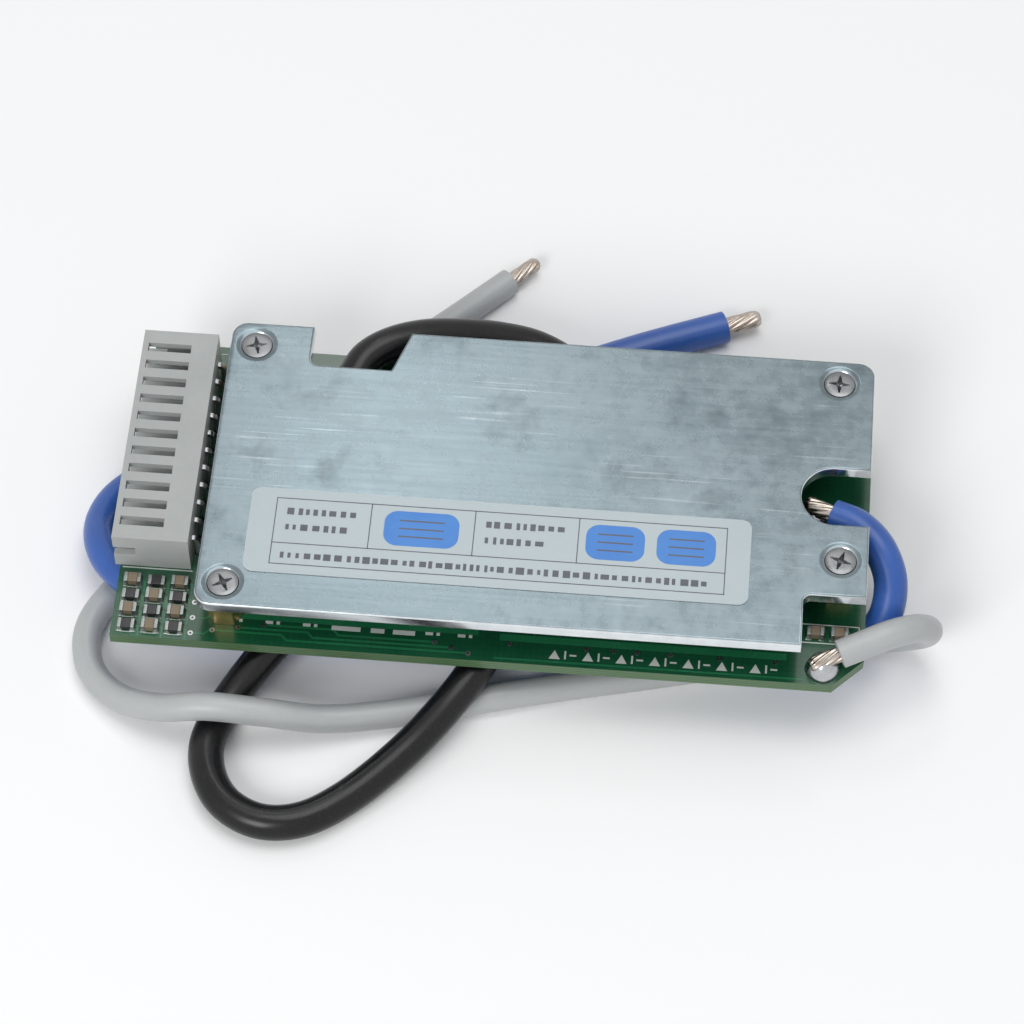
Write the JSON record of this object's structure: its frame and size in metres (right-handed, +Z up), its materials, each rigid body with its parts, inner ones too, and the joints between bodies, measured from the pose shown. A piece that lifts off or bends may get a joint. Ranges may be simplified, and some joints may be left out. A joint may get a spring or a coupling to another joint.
{
  "type": "battery management board",
  "caption": "Battery management board under a flat heat plate, with a side-entry balance header and soldered power leads wound beneath it.",
  "frame": {"origin": "centre of the circuit board in X and Y, half way up the board with its plate, solder joints and screws", "axes": "+X along the board from the balance header to the plate's slotted end, +Y to the rear, +Z up out of the heat plate"},
  "size_m": [0.1033, 0.086, 0.0167],
  "materials": {
    "board_green": "glossy solder mask",
    "plate_aluminium": "satin, brushed",
    "pad_grey": "matt",
    "label_silver": "satin film",
    "spacer_brass": "machined",
    "screw_steel": "plated",
    "header_nylon": "matt moulding",
    "pin_tin": "tin plated",
    "solder_tin": "bright solder",
    "moulding_black": "matt epoxy",
    "resistor_black": "glazed",
    "capacitor_tan": "matt",
    "strand_copper": "tinned copper strands",
    "lead_black": "glossy",
    "lead_blue": "glossy",
    "lead_white": "satin"
  },
  "bodies": {
    "root": {"circuit_board": "board_green", "heat_plate": "plate_aluminium", "thermal_pad_rear": "pad_grey", "thermal_pad_front": "pad_grey", "plate_label": "label_silver", "plate_spacers": "spacer_brass", "plate_screws": "screw_steel", "screw_nuts": "screw_steel", "header_housing": "header_nylon", "header_roof": "header_nylon", "header_pins": "pin_tin", "header_solder": "solder_tin", "rear_mosfets": "moulding_black", "front_mosfets": "moulding_black", "rear_mosfet_frames": "pin_tin", "front_mosfet_frames": "pin_tin", "shunt_resistors": "resistor_black", "shunt_ends": "solder_tin", "controller_chip": "moulding_black", "controller_legs": "pin_tin", "balance_resistors": "resistor_black", "balance_transistors": "moulding_black", "transistor_legs": "pin_tin", "chip_resistors": "resistor_black", "chip_capacitors": "capacitor_tan", "chip_ends": "solder_tin", "track_solder": "solder_tin", "black_mound": "solder_tin", "blue_mound": "solder_tin", "white_mound": "solder_tin", "black_strands": "strand_copper", "blue_strands": "strand_copper", "white_strands": "strand_copper", "black_lead": "lead_black", "blue_lead": "lead_blue", "white_lead": "lead_white", "black_tip": "strand_copper", "blue_tip": "strand_copper", "white_tip": "strand_copper"}
  },
  "joints": []
}
